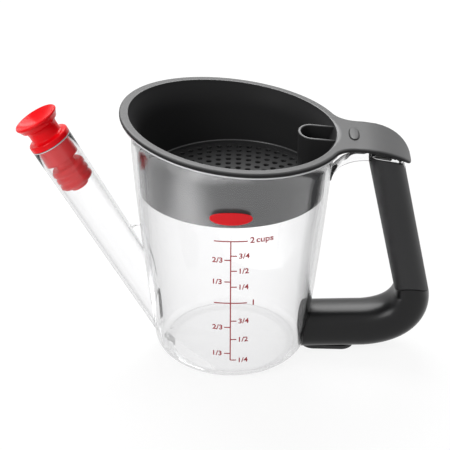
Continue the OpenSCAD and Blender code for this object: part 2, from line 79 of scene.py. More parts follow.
def turned(profile, steps):
    bm = bmesh.new()
    chain = [bm.verts.new((r, 0, z)) for r, z in profile]
    for a, b in zip(chain, chain[1:]):
        bm.edges.new((a, b))
    bmesh.ops.spin(bm, geom=bm.verts[:] + bm.edges[:], cent=(0, 0, 0), axis=(0, 0, 1),
                   angle=2 * math.pi, steps=steps, use_merge=True, use_duplicate=False)
    bmesh.ops.remove_doubles(bm, verts=bm.verts, dist=1e-6)
    bmesh.ops.recalc_face_normals(bm, faces=bm.faces)
    return bm


def radiansOf(*degrees):
    return [math.radians(a) for a in degrees]


def evenly(start, end, count):
    return [start + (end - start) * i / count for i in range(1, count + 1)]


def arc(r, z, radius, start, end, count):
    turns = radiansOf(*(start + (end - start) * i / count for i in range(count + 1)))
    return [(r + radius * math.cos(t), z + radius * math.sin(t)) for t in turns]


# a rounded edge at some of its angles: how far it is still drawn in, and how far it has risen
def edgeSteps(edge, *degrees):
    return [(edge * (1 - math.sin(t)), edge * (1 - math.cos(t))) for t in radiansOf(*degrees)]


def ovalRing(halfX, halfY, power, count):
    ring = []
    for i in range(count):
        c, d = math.cos(2 * math.pi * i / count), math.sin(2 * math.pi * i / count)
        ring.append((halfX * math.copysign(abs(c) ** (2 / power), c),
                     halfY * math.copysign(abs(d) ** (2 / power), d)))
    return ring


def bevelSharp(bm, width, segments, angle):
    sharp = [e for e in bm.edges if len(e.link_faces) == 2
             and e.calc_face_angle(0) > math.radians(angle)]
    bmesh.ops.bevel(bm, geom=sharp, offset=width, offset_type="OFFSET", segments=segments,
                    profile=0.5, affect="EDGES", clamp_overlap=True, material=-1)


def looseObject(name, bm):
    mesh = bpy.data.meshes.new(name)
    bm.to_mesh(mesh)
    bm.free()
    made = bpy.data.objects.new(name, mesh)
    bpy.context.scene.collection.objects.link(made)
    return made


def combine(piece, operation, *tools):
    for tool in tools:
        join = piece.modifiers.new(tool.name, "BOOLEAN")
        join.object = tool
        join.operation = operation
        join.solver = "EXACT"
        bpy.context.view_layer.update()
        settled = piece.evaluated_get(bpy.context.evaluated_depsgraph_get())
        mesh = bpy.data.meshes.new_from_object(settled)
        piece.modifiers.clear()
        piece.data = mesh
        bpy.data.objects.remove(tool)


def markPoints(piece, name, shares):
    piece.data.attributes.new(name, "FLOAT", "POINT").data.foreach_set("value", shares)


def finishPiece(piece, body, slotName, *replaced, smooth=38, finish=None):
    piece.data.materials.clear()
    piece.data.materials.append(finishes[finish or slotName])
    piece.data.shade_smooth()
    piece.data.set_sharp_from_angle(angle=math.radians(smooth))
    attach(piece, body)
    if replaced:
        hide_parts(*replaced)
    print(piece.name, "made:", len(piece.data.polygons), "faces")


# Shape of the cup's wall and rim, shared by several pieces

wallValues = {"footRadius": 37.8 * mm, "topRadius": 50 * mm, "height": 132.4 * mm, "swell": 1.4}
rimValues = {"height": 124.4 * mm, "slant": 6.3, "sweep": 1 * mm, "sweepAt": 50 * mm,
             "outer": 54.4 * mm, "inner": 50 * mm, "flare": 13 * mm, "slantFrom": 60 * mm}


def wallRadius(z):
    v = wallValues
    part = min(z, v["height"]) / v["height"]
    return v["footRadius"] + (v["topRadius"] - v["footRadius"]) * (1 - (1 - part) ** v["swell"])


def rimHeight(x):
    v = rimValues
    return v["height"] - x * math.tan(math.radians(v["slant"])) + v["sweep"] * (x / v["sweepAt"]) ** 2


# Camera and studio

cameraValues = {
    "target": (0, 0, 60 * mm),
    "distance": 0.7315,
    "elevation": 29.1,
    "azimuth": 1.308,
    "roll": 0.535,
    "pan": 0.262,
    "tilt": 0.569,
    "lens": 116.77,
    "sensor": 36,
    "clip": (0.01, 20),
}


def addCamera(v):
    data = bpy.data.cameras.new("camera")
    data.sensor_width = v["sensor"]
    data.lens = v["lens"]
    data.clip_start, data.clip_end = v["clip"]
    high, side = radiansOf(v["elevation"], v["azimuth"])
    back = Vector((math.sin(side) * math.cos(high), -math.cos(side) * math.cos(high), math.sin(high)))
    turn = back.to_track_quat("Z", "Y").to_matrix().to_4x4()
    for angle, axis in ((v["roll"], "Z"), (v["pan"], "Y"), (v["tilt"], "X")):
        turn = turn @ Matrix.Rotation(math.radians(angle), 4, axis)
    camera = bpy.data.objects.new("camera", data)
    camera.matrix_world = Matrix.Translation(Vector(v["target"]) + v["distance"] * back) @ turn
    bpy.context.scene.collection.objects.link(camera)
    bpy.context.scene.camera = camera


studioValues = {
    "floorSize": 4,
    "floorColour": 0.8,
    "floorGlow": 0.88,            # white added to the floor for the camera, glass and gloss
    "worldGlow": 1,
    "worldLight": 0.5,
    "key": {"place": (-0.2, 0.75, 1.05), "size": (1.0, 0.8), "power": 17},
    "front": {"place": (-0.75, -0.8, 0.75), "size": (0.6, 0.6), "power": 7},
    "card": {"place": (-0.128, -0.118, 0.003), "size": (0.19, 0.3), "turn": -50, "glow": 5.8,
             "deeperThan": {"Transmission Depth": 3.5, "Glossy Depth": 0.5}},
    "aim": (0, 0, 0.06),
}


# nodes of materials: what is fed in is a socket to link or a value to set
def feed(tree, node, inputs):
    for label, given in inputs.items():
        if isinstance(given, bpy.types.NodeSocket):
            tree.links.new(given, node.inputs[label])
        else:
            node.inputs[label].default_value = given


def addNode(tree, kind, inputs=None, **settings):
    node = tree.nodes.new("ShaderNode" + kind)
    for label, value in settings.items():
        setattr(node, label, value)
    feed(tree, node, inputs or {})
    return node


def addMath(tree, operation, *given):
    return addNode(tree, "Math", dict(enumerate(given)), operation=operation).outputs[0]


def mixShaders(tree, outputKind, share, first, second):
    mix = addNode(tree, "MixShader", {0: share, 1: first.outputs[0], 2: second.outputs[0]})
    addNode(tree, "Output" + outputKind, {"Surface": mix.outputs[0]})


def grey(level):
    return (level, level, level, 1)


def stageSheet(name, size, finish):
    bm = bmesh.new()
    bmesh.ops.create_grid(bm, x_segments=1, y_segments=1, size=size / 2)
    sheet = looseObject(name, bm)
    material = bpy.data.materials.new(finish)
    material.use_nodes = True
    material.node_tree.nodes.clear()
    sheet.data.materials.append(material)
    return sheet, material.node_tree


def seenDirectly(tree):
    path = addNode(tree, "LightPath")
    share = path.outputs["Is Camera Ray"]
    for kind in ("Is Glossy Ray", "Is Transmission Ray"):
        share = addMath(tree, "MAXIMUM", share, path.outputs[kind])
    return share


def addWorld(v):
    world = bpy.data.worlds.new("studio")
    bpy.context.scene.world = world
    world.use_nodes = True
    tree = world.node_tree
    tree.nodes.clear()
    light, glow = [addNode(tree, "Background", {"Color": grey(1), "Strength": v[strength]})
                   for strength in ("worldLight", "worldGlow")]
    mixShaders(tree, "World", seenDirectly(tree), light, glow)


def addFloor(v):
    floor, tree = stageSheet("floor", v["floorSize"], "floor_paper")
    paper = addNode(tree, "BsdfDiffuse", {"Color": grey(v["floorColour"])})
    dim = addNode(tree, "BsdfDiffuse", {"Color": grey(1 - v["floorGlow"])})
    glow = addNode(tree, "Emission", {"Color": grey(1), "Strength": v["floorGlow"]})
    lit = addNode(tree, "AddShader", {0: dim.outputs[0], 1: glow.outputs[0]})
    mixShaders(tree, "Material", seenDirectly(tree), paper, lit)


def addLamp(name, v):
    lamp = bpy.data.lights.new(name, "AREA")
    lamp.shape = "RECTANGLE"
    lamp.size, lamp.size_y = v["size"]
    lamp.energy = v["power"]
    made = bpy.data.objects.new(name, lamp)
    made.location = v["place"]
    aim = Vector(studioValues["aim"]) - made.location
    made.rotation_euler = aim.to_track_quat("-Z", "Y").to_euler()
    made.visible_camera = False
    made.visible_transmission = False
    bpy.context.scene.collection.objects.link(made)


# a bright card that only the clear wall's inner reflections see, as a soft streak
def addCard(v):
    card, tree = stageSheet("soft_card", 1, "card_glow")
    turn = Matrix.Rotation(math.radians(v["turn"]), 4, "Z")
    card.matrix_world = Matrix.Translation(v["place"]) @ turn @ Matrix.Diagonal((*v["size"], 1, 1))
    across = {0: addNode(tree, "TexCoord").outputs["Object"], 1: (2, 0, 0)}
    across = addNode(tree, "VectorMath", across, operation="MULTIPLY").outputs[0]
    share = addNode(tree, "TexGradient", {"Vector": across}, gradient_type="SPHERICAL").outputs["Fac"]
    path = addNode(tree, "LightPath")
    for kind, least in v["deeperThan"].items():
        share = addMath(tree, "MULTIPLY", addMath(tree, "GREATER_THAN", path.outputs[kind], least), share)
    mixShaders(tree, "Material", share, addNode(tree, "BsdfTransparent"),
               addNode(tree, "Emission", {"Strength": v["glow"]}))
    for way in ("camera", "diffuse", "shadow", "volume_scatter"):
        setattr(card, "visible_" + way, False)


bpy.context.scene.view_settings.view_transform = "Standard"
addCamera(cameraValues)
addWorld(studioValues)
addFloor(studioValues)
addLamp("key_lamp", studioValues["key"])
addLamp("front_lamp", studioValues["front"])
addCard(studioValues["card"])
print("camera and studio ready")


# Finishes

def grainGroup():
    group = bpy.data.node_groups.new("moulded_grain", "ShaderNodeTree")
    for label, kind, value in (("Vector", "Vector", None), ("Scale", "Float", 2500.0),
                               ("Roughness", "Float", 0.4), ("Spread", "Float", 0.08)):
        socket = group.interface.new_socket(label, in_out="INPUT", socket_type="NodeSocket" + kind)
        if value is not None:
            socket.default_value = value
    for label in ("Roughness", "Height"):
        group.interface.new_socket(label, in_out="OUTPUT", socket_type="NodeSocketFloat")
    given = group.nodes.new("NodeGroupInput").outputs
    fine = addNode(group, "TexNoise", {"Vector": given["Vector"], "Scale": given["Scale"], "Detail": 3})
    broad = addNode(group, "TexNoise", {"Vector": given["Vector"], "Scale": 45, "Detail": 4})
    shift = addMath(group, "SUBTRACT", broad.outputs[0], 0.5)
    spread = addMath(group, "MULTIPLY_ADD", shift, given["Spread"], given["Roughness"])
    feed(group, group.nodes.new("NodeGroupOutput"), {"Roughness": spread, "Height": fine.outputs[0]})
    return group


grain = grainGroup()


def startMaterial(name):
    material = bpy.data.materials.new(name)
    material.use_nodes = True
    tree = material.node_tree
    return material, tree, tree.nodes["Principled BSDF"]


def addGrain(tree, shader, v):
    node = addNode(tree, "Group", {
        "Vector": addNode(tree, "TexCoord").outputs["Object"], "Scale": v["grainScale"],
        "Roughness": v["roughness"], "Spread": v["spread"]}, node_tree=grain)
    bump = addNode(tree, "Bump", {"Strength": v["bump"], "Distance": v["grainDepth"],
                                  "Height": node.outputs["Height"]})
    feed(tree, shader, {"Roughness": node.outputs["Roughness"], "Normal": bump.outputs[0]})
    return node, bump


def blend(tree, share, first, second, kind="FLOAT"):
    inputs = {"Factor": share, "A": first, "B": second}
    return addNode(tree, "Mix", inputs, data_type=kind).outputs["Result"]


def blendColours(tree, share, first, second):
    first, second = [c + (1,) if isinstance(c, tuple) else c for c in (first, second)]
    return blend(tree, share, first, second, "RGBA")


def markedShare(tree, label):
    return addNode(tree, "Attribute", attribute_name=label).outputs["Fac"]


def plasticMaterial(name, v):
    material, tree, shader = startMaterial(name)
    feed(tree, shader, {"Base Color": v["colour"] + (1,), "Specular IOR Level": v["specular"],
                        "Metallic": v.get("metallic", 0), "Transmission Weight": v.get("clearness", 0)})
    addGrain(tree, shader, v)
    return material


def siliconeMaterial(name, v):
    material, tree, shader = startMaterial(name)
    # painted light: the plug inside the clear spout gets a lighter red, standing in for the light that
    # reaches it through the glass
    colour = blendColours(tree, markedShare(tree, "plug"), v["colour"], v["plugPaintedLightColour"])
    feed(tree, shader, {"Base Color": colour, "Specular IOR Level": v["specular"]})
    addGrain(tree, shader, v)
    return material


def strainerMaterial(name, v):
    material, tree, shader = startMaterial(name)
    # the inside share darkens towards the inside colour, partly the inner face's own tone and partly painted
    # shade; the outside share lightens towards the outside colour, partly painted reflection and highlight
    # lines
    inside, outside = markedShare(tree, "inside"), markedShare(tree, "outside")
    colour = blendColours(tree, outside, v["colour"], v["outsideColour"])
    colour = blendColours(tree, inside, colour, v["insideColour"])
    gloss = blend(tree, outside, v["specular"], v["outsideSpecular"])
    gloss = blend(tree, inside, gloss, v["insideSpecular"])
    node, bump = addGrain(tree, shader, v)
    roughness = blend(tree, outside, node.outputs["Roughness"], v["outsideRoughness"])
    feed(tree, shader, {"Base Color": colour, "Specular IOR Level": gloss, "Roughness": roughness})
    feed(tree, bump, {"Strength": blend(tree, outside, v["bump"], 0)})
    return material


def clearMaterial(name, v):
    material, tree, shader = startMaterial(name)
    # painted reflection: the glass's colour turns grey towards its grazing edges, standing in for dark
    # surroundings seen in it there
    facing = addNode(tree, "LayerWeight", {"Blend": 0.5}).outputs["Facing"]
    share = addMath(tree, "POWER", facing, v["edgeDarkeningPower"])
    feed(tree, shader, {"Base Color": blendColours(tree, share, v["colour"], v["edge"]),
                        "Transmission Weight": 1, "IOR": v["ior"],
                        "Specular IOR Level": v["specular"], "Roughness": v["roughness"]})
    return material


# one finish for each material slot, and one for the pale rings that paint highlights on edges
finishValues = {
    "strainer_plastic": {
        # the darker inside colour is partly the inner face's own tone and partly painted shade; the lighter
        # outside colour is partly painted reflection and painted highlight lines
        "colour": (0.038, 0.038, 0.039), "outsideColour": (0.085, 0.085, 0.088),
        "insideColour": (0.023, 0.023, 0.0235), "specular": 0.5, "insideSpecular": 0.03,
        "outsideSpecular": 1.0, "outsideRoughness": 0.24, "roughness": 0.44, "spread": 0.1,
        "grainScale": 2600, "grainDepth": 0.00005, "bump": 0.08},
    "soft_grip": {
        "colour": (0.012, 0.012, 0.013), "roughness": 0.55, "spread": 0.12, "specular": 0.4,
        "grainScale": 3200, "grainDepth": 0.0001, "bump": 0.2},
    "arm_plastic": {
        "colour": (0.005, 0.005, 0.0055), "roughness": 0.3, "spread": 0.08, "specular": 0.27,
        "grainScale": 1500, "grainDepth": 0.00004, "bump": 0.1},
    "red_silicone": {
        # the plug's lighter red is painted light on the part inside the spout
        "colour": (0.72, 0.002, 0.006), "plugPaintedLightColour": (0.86, 0.04, 0.045), "roughness": 0.22,
        "spread": 0.1, "specular": 0.12, "grainScale": 1800, "grainDepth": 0.00005, "bump": 0.12},
    "screw_steel": {
        "colour": (0.6, 0.6, 0.62), "roughness": 0.3, "spread": 0.1, "specular": 0.5, "metallic": 1,
        "grainScale": 900, "grainDepth": 0.00003, "bump": 0.1},
    "scale_print": {
        "colour": (0.36, 0.035, 0.042), "roughness": 0.45, "spread": 0.1, "specular": 0.3,
        "grainScale": 4000, "grainDepth": 0.00002, "bump": 0.1},
    "badge_print": {
        "colour": (0.66, 0.006, 0.012), "roughness": 0.22, "spread": 0.06, "specular": 0.2,
        "grainScale": 1500, "grainDepth": 0.00002, "bump": 0.1},
    "clear_plastic": {
        # the grey edge colour is painted reflection at the glass's grazing edges
        "colour": (0.976, 0.976, 0.979), "edge": (0.24, 0.24, 0.245), "ior": 1.31,
        "roughness": 0.0, "edgeDarkeningPower": 2.2, "specular": 1.0},
    # pale finish of the rings that paint highlights on the flange and mouth edges
    "pale_edge_highlight": {
        "colour": (0.9, 0.9, 0.92), "roughness": 0.25, "spread": 0.1, "specular": 0.5, "clearness": 0.4,
        "grainScale": 900, "grainDepth": 0.00002, "bump": 0.1},
}
makers = {"strainer_plastic": strainerMaterial, "red_silicone": siliconeMaterial,
          "clear_plastic": clearMaterial}
finishes = {name: makers.get(name, plasticMaterial)(name, v) for name, v in finishValues.items()}
for part in frame["record"]["subparts"]:
    holder = nodes[part["node"]].data.materials
    holder.clear()
    holder.append(finishes[part["material_slot"]])
print("finishes ready")


# Strainer with its rim, hood and air channel

strainerValues = {
    "floorHeight": 93 * mm,       # top of the perforated floor
    "fromWall": 3.85 * mm,        # cup wall, clearance and strainer wall together
    "wall": 1.3 * mm, "plate": 1.9 * mm, "floorThick": 2 * mm, "innerEdge": 0.4 * mm,
    "ledge": 0.5 * mm, "ledgeHeight": 1.7 * mm, "ledgeEdge": 0.3 * mm, "footEdge": 1.2 * mm,
    "rimStep": 2.5,               # degrees
    "spread": 24,                 # rings from the rim's inner edge out to its outline
    "plateRings": (0.15, 0.4, 0.7, 0.9, 1), "edge": 1.15 * mm, "lowEdge": 0.3 * mm,
    "lipIn": 0.3 * mm, "lipDown": 0.35 * mm,      # step of the wall under the rim's inner edge
    "hoodReach": 32.6 * mm, "hoodHalf": 16.5 * mm, "neckRadius": 12 * mm, "curl": 23 * mm,
    "bendLength": 23.5 * mm, "bendHeight": 14 * mm, "sidePower": 3,
    "crowding": 1.5, "ledgeShares": (1, 1.5, 1.7),
}
hoodEnd = rimValues["outer"] + strainerValues["hoodReach"]
bendStart = hoodEnd - strainerValues["curl"]


def hoodHeight(x, inset=0):
    v = strainerValues
    along = max(0, x - bendStart) / (v["bendLength"] - inset)
    drop = (v["bendHeight"] - inset) * (1 - math.sqrt(max(0, 1 - along * along)))
    return rimHeight(x) - inset - drop


def flareRadius(atRim, offset, depth):
    wall = wallRadius(rimValues["height"] - rimValues["flare"]) + offset
    part = 1 - depth / rimValues["flare"]
    return wall + (atRim - wall) * part * part


def slantWithRim(bm):
    low, full = rimValues["slantFrom"], rimValues["height"] - rimValues["flare"]
    for v in bm.verts:
        part = min(1, max(0, (v.co.z - low) / (full - low)))
        if part == 0:
            continue
        height = v.co.z + (rimHeight(v.co.x) - rimValues["height"]) * part * part * (3 - 2 * part)
        reach = math.hypot(v.co.x, v.co.y)
        if v.co.z < full:
            grow = 1 + (wallRadius(height) - wallRadius(v.co.z)) / reach if reach > 0 else 1
            v.co.x *= grow
            v.co.y *= grow
        v.co.z = height


def strainerOutline(v):
    outer, neck = rimValues["outer"], v["neckRadius"]
    neckY = v["hoodHalf"] + neck
    neckX = math.sqrt((outer + neck) ** 2 - neckY ** 2)
    start = math.degrees(math.atan2(neckY, neckX))
    side = arc(neckX, neckY, neck, 180 + start, 270, 8)[1:]
    side += [(x, v["hoodHalf"]) for x in evenly(neckX, bendStart, 3)]
    nose = []
    for i in range(1, 12):
        t = math.radians(90 * i / 12)
        x = bendStart + v["curl"] * math.sin(t) ** (2 / v["sidePower"])
        nose.append((x, v["hoodHalf"] * math.cos(t) ** (2 / v["sidePower"])))
    half = side + nose
    hood = half + [(hoodEnd, 0)] + [(x, -y) for x, y in half[::-1]]
    count = round((360 - 2 * start) / v["rimStep"])
    step = (360 - 2 * start) / count
    rim = [math.radians(-start - step * i) for i in range(count + 1)]
    points = hood + [(outer * math.cos(t), outer * math.sin(t)) for t in rim]
    angles = [math.radians(start - 2 * start * (i + 1) / (len(hood) + 1)) for i in range(len(hood))]
    return points, angles + rim


def insetOutline(points, amount):
    shrunk = []
    for i, (x, y) in enumerate(points):
        before, after = points[i - 1], points[(i + 1) % len(points)]
        dx, dy = after[0] - before[0], after[1] - before[1]
        reach = amount / math.hypot(dx, dy)
        shrunk.append((x + dy * reach, y - dx * reach))
    return shrunk


def roundTheBasket(angles, r, z):
    v = strainerValues
    top, low = rimValues["height"], rimValues["height"] - rimValues["flare"]
    base = v["floorHeight"] + v["ledgeHeight"]
    part = 1 if z >= low else max(0, (z - base) / (low - base))
    places = []
    for t in angles:
        shift = (rimHeight(r * math.cos(t)) - top) * part
        grow = r if z >= low else r + wallRadius(z + shift) - wallRadius(z)
        places.append((grow * math.cos(t), grow * math.sin(t), z + shift))
    return places


def roundThePlate(points, angles, part, start, edge, depth):
    far = 1 - (1 - part) ** strainerValues["crowding"]
    squeeze = 1 - depth / strainerValues["bendLength"]
    places = []
    for (x, y), t in zip(insetOutline(points, edge), angles):
        px = start * math.cos(t) * (1 - far) + x * far
        py = start * math.sin(t) * (1 - far) + y * far
        px = px if px < bendStart else bendStart + (px - bendStart) * squeeze
        places.append((px, py, hoodHeight(px, depth)))
    return places


def strainerRings(v):
    points, angles = strainerOutline(v)
    top, flare, plate = rimValues["height"], rimValues["flare"], v["plate"]
    low, foot = top - flare, v["floorHeight"] - v["floorThick"]
    outward, base = v["fromWall"] - v["wall"], v["floorHeight"] + v["ledgeHeight"]
    corner = v["footEdge"]
    profile = arc(wallRadius(foot + corner) - outward - corner, foot + corner, corner, -90, 0, 4)
    profile += [(wallRadius(z) - outward, z) for z in evenly(foot + corner, low, 7)]
    under = rimValues["inner"] + v["wall"]
    profile += [(flareRadius(under, -outward, d), top - d) for d in evenly(flare, plate, 7)]
    rings = [roundTheBasket(angles, x, z) for x, z in profile]
    under = profile[-1][0]
    rings += [roundThePlate(points, angles, part, under, v["lowEdge"], plate) for part in v["plateRings"]]
    rings += [roundThePlate(points, angles, 1, under, inward, plate - up)
              for inward, up in edgeSteps(v["lowEdge"], 30, 60, 90)]
    rings += [roundThePlate(points, angles, 1, under, inward, down)
              for down, inward in edgeSteps(v["edge"], 0, 18, 36, 54, 72, 90)]
    inner, edge = rimValues["inner"] + v["innerEdge"], v["innerEdge"]
    rings += [roundThePlate(points, angles, i / v["spread"], inner, v["edge"], 0)
              for i in range(v["spread"] - 1, -1, -1)]
    down = [(inner - edge * math.sin(t), edge * (1 - math.cos(t))) for t in radiansOf(20, 40, 60)]
    last, first = down[-1]
    depths = [first + v["lipDown"]] + evenly(first, flare, 7)
    profile = [(x, top - d) for x, d in down]
    profile += [(flareRadius(last + v["lipIn"], -v["fromWall"], d), top - d) for d in depths]
    profile += [(wallRadius(z) - v["fromWall"], z) for z in
                evenly(low, base, 5)[:-1] + [base + v["ledgeEdge"], base]]
    r = profile[-1][0]
    profile += [(r - v["ledge"] * share, z) for share, z in
                zip(v["ledgeShares"], (base, base - v["ledgeEdge"], v["floorHeight"]))]
    return rings + [roundTheBasket(angles, x, z) for x, z in profile]


def addStrainer(v):
    shell = looseObject("strainer_body", loft(strainerRings(v)))
    combine(shell, "UNION", channelForm(channelValues, 0, v))
    combine(shell, "DIFFERENCE", channelForm(channelValues, channelValues["wall"], v),
            holeCutter(holeValues, v))
    markStrainer(shell, v, markValues)
    finishPiece(shell, "strainer_lid", "strainer_plastic", "strainer")


channelValues = {"half": 8.6 * mm, "reach": 12.4 * mm, "nose": 6.6 * mm, "wall": 1.4 * mm, "drop": 0.4 * mm,
                 "edge": 0.35 * mm, "film": 0.05 * mm, "bendAt": 12 * mm, "over": 4 * mm, "step": 2 * mm}


def channelForm(v, inset, basket):
    half, nose = v["half"] - inset, v["nose"] - inset
    floorTop, floorLow = basket["floorHeight"], basket["floorHeight"] - basket["floorThick"]
    bend = wallRadius(floorLow) - basket["fromWall"] - v["reach"] + v["nose"]
    curve = [(bend + nose * math.cos(t), half * math.sin(t)) for t in radiansOf(*range(-90, -271, -10))]
    top, edge = rimValues["height"], v["edge"]
    middle = [(top - v["bendAt"], 0), (top - v["drop"] - edge, 0)]
    if inset:
        back = v["film"]
        levels = [(floorTop - v["over"], 0)] + middle + [(top - v["drop"], edge), (top + v["over"], edge)]
    else:
        back = -basket["wall"] / 2
        levels = [(floorLow, 0), (floorTop + v["step"], 0)] + middle + [(top - v["drop"], -edge)]
    low = top - rimValues["flare"]
    rings = []
    for z, grow in levels:
        ring = [(bend + (x - bend) * (1 + grow / nose), y * (1 + grow / half)) for x, y in curve]
        reach = wallRadius(z) - basket["fromWall"] - back
        if z > low:
            depth = min(rimValues["flare"], max(0, top - z))
            reach = flareRadius(rimValues["inner"], -basket["fromWall"], depth) - back
        if z > top:
            reach = rimValues["inner"] - back
        wide = math.asin((half + grow) / reach)
        bow = [wide - 2 * wide * i / 6 for i in range(7)]
        ring += [(reach * math.cos(t), reach * math.sin(t)) for t in bow]
        part = 1 if z > low else max(0, (z - floorTop) / (low - floorTop))
        rings.append([(x, y, z + (rimHeight(x) - top) * part) for x, y in ring])
    return looseObject("channel_tool", loft(rings))


holeValues = {"rings": 8, "pitch": 4.94 * mm, "diameter": 2.5 * mm, "clear": 2.4 * mm,
              "chamfer": 0.35 * mm, "below": 4 * mm, "above": 1 * mm, "sides": 16, "perRing": 6}


def holeCutter(v, basket):
    bm = bmesh.new()
    top = basket["floorHeight"]
    r, c = v["diameter"] / 2, v["chamfer"]
    low, high = top - v["below"], top + v["above"]
    one = turned([(0, low), (r, low), (r, top - c), (r + c, top), (r + c, high), (0, high)], v["sides"])
    shape = bpy.data.meshes.new("hole")
    one.to_mesh(shape)
    one.free()
    nose = wallRadius(top - basket["floorThick"]) - basket["fromWall"] - channelValues["reach"]
    for ring in range(v["rings"] + 1):
        count = max(1, v["perRing"] * ring)
        for i in range(count):
            t = math.radians(90 + 360 / count * (i + 0.5))
            x, y = ring * v["pitch"] * math.cos(t), ring * v["pitch"] * math.sin(t)
            if x < nose - v["clear"] or abs(y) > channelValues["half"] + v["clear"]:
                start = len(bm.verts)
                bm.from_mesh(shape)
                bm.verts.ensure_lookup_table()
                bmesh.ops.translate(bm, verts=bm.verts[start:], vec=(x, y, 0))
    bpy.data.meshes.remove(shape)
    return looseObject("hole_tool", bm)


markValues = {
    "onWall": 0.6,                # share of the wall's thickness that tells its outside
    "side": 1 * mm, "under": 0.1 * mm, "inner": 0.2 * mm, "near": 0.05 * mm, "edge": 0.1 * mm,
    # the floor keeps only this part of the dark inside colour, a painted light falling from above
    "channelIn": 1 * mm, "channelDown": 0.5 * mm, "floorLitShare": 0.5,
    # painted shade: where the dark colour starts and how far it takes to reach full, on the rim's outer side
    # face and in a dark line just under the rim's inner edge
    "sideShadeFade": (0.3 * mm, 0.35 * mm), "rimShadowFade": (0.05 * mm, 0.15 * mm),     # start and length
}


# shares at each point which the finish reads: a darker inside share, partly the inner walls' own darker tone
# and partly painted shade, and a lighter, glossier outside share that also carries painted highlights
def markStrainer(piece, v, m):
    inside, outside = [], []
    for vert in piece.data.vertices:
        x, y, z = vert.co
        r = math.hypot(x, y)
        below = rimHeight(x) - z
        outward = vert.normal.x * x + vert.normal.y * y
        onOutside = r > wallRadius(z) - v["fromWall"] + v["wall"] * m["onWall"] and outward > 0
        onSide = r > rimValues["outer"] - m["side"]
        # the strainer's outer wall under the plate takes the lighter, glossier outside finish: partly a
        # glossier face, partly painted reflection of the lamps through the clear cup
        onBand = onOutside and not onSide and below > v["plate"] - m["under"]
        inner = r < rimValues["inner"] + m["inner"] and not onOutside
        # painted shade: the rim's outer side face and a thin line just under the rim's inner edge are
        # darkened towards the inside colour
        deep = hoodHeight(x) - z if onSide else below
        start, span = m["sideShadeFade"] if onSide else m["rimShadowFade"]
        depth = min(1, max(0, (deep - start) / span)) if inner or onSide else 0
        # painted highlight: the ledge round the floor takes the lighter outside colour as a thin light line
        onLedgeHighlight = inner and abs(z - v["floorHeight"] - v["ledgeHeight"]) < m["near"]
        onFloor = abs(z - v["floorHeight"]) < m["near"]
        # painted highlight: the rim's inner edge and the channel's top edge take the lighter outside colour
        onRimEdgeHighlight = abs(r - rimValues["inner"] - v["innerEdge"]) < m["edge"] and below < m["edge"]
        onChannel = r < rimValues["inner"] - m["channelIn"] and below < m["channelDown"]
        outside.append(1 if onBand or onLedgeHighlight or onRimEdgeHighlight or onChannel else 0)
        # painted light: the floor is darkened only half as much as the walls, as if lit from above
        inside.append(0 if onLedgeHighlight or onChannel else depth * (m["floorLitShare"] if onFloor else 1))
    markPoints(piece, "inside", inside)
    markPoints(piece, "outside", outside)


padValues = {"out": 4 * mm, "length": 13.2 * mm, "width": 4.4 * mm, "height": 0.6 * mm, "sink": 1 * mm,
             "power": 2.3, "edge": 0.3 * mm, "groove": 0.45 * mm, "grooveHeight": 0.04 * mm,
             "sides": 48, "near": 0.01 * mm}


def addHoodPad(v):
    centre = rimValues["outer"] + v["out"]
    low, top, e = v["grooveHeight"], v["height"], v["edge"]
    levels = [(v["groove"], -v["sink"]), (v["groove"], low), (0, low), (0, top - e)]
    levels += [(-inward, top - down) for down, inward in edgeSteps(e, 30, 60, 90)]
    rings = []
    for grow, z in levels:
        ring = ovalRing(v["width"] / 2 + grow, v["length"] / 2 + grow, v["power"], v["sides"])
        rings.append([(centre + x, y, rimHeight(centre + x) + z) for x, y in ring])
    pad = looseObject("hood_pad", loft(rings))
    heights = [w.co.z - rimHeight(w.co.x) for w in pad.data.vertices]
    # painted shade: the pad's groove and foot take the dark inside colour, a dark line round the pad
    markPoints(pad, "inside", [1 if z < low + v["near"] else 0 for z in heights])
    finishPiece(pad, "strainer_lid", "strainer_plastic")


addStrainer(strainerValues)
addHoodPad(padValues)


# Clear cup, spout and handle frame, moulded in one

cupValues = {
    "wall": 2.2 * mm, "floor": 3 * mm, "corner": 10 * mm, "innerCorner": 3.2 * mm, "steps": 144,
    "bead": 0.3 * mm, "beadWide": 2.6 * mm,       # low swell round the floor's edge
    "flange": 53.8 * mm, "flangeThick": 1.1 * mm, "flangeEdge": 0.3 * mm, "flangeDrop": 2.2 * mm,
    "play": 0.35 * mm,            # between the cup and the strainer
    "over": 1 * mm, "bossRadius": 7 * mm, "bossHeight": 11.9 * mm, "bossLength": 17 * mm,
    "bossEdge": 0.5 * mm, "bossSides": 48, "far": 60 * mm,
}
spoutValues = {
    "lean": 29.6, "length": 129.3 * mm, "footX": -24.3 * mm, "footRadius": 8.9 * mm,
    "mouthRadius": 10.4 * mm, "wall": 1.2 * mm, "edge": 0.4 * mm, "steps": 64, "footCut": 5 * mm,
    "over": 2 * mm, "webTop": 67 * mm, "webLow": 33.5 * mm, "webThick": 3 * mm, "webEdge": 1.3 * mm,
    "webGap": 0.04 * mm, "portTop": 26 * mm,
}
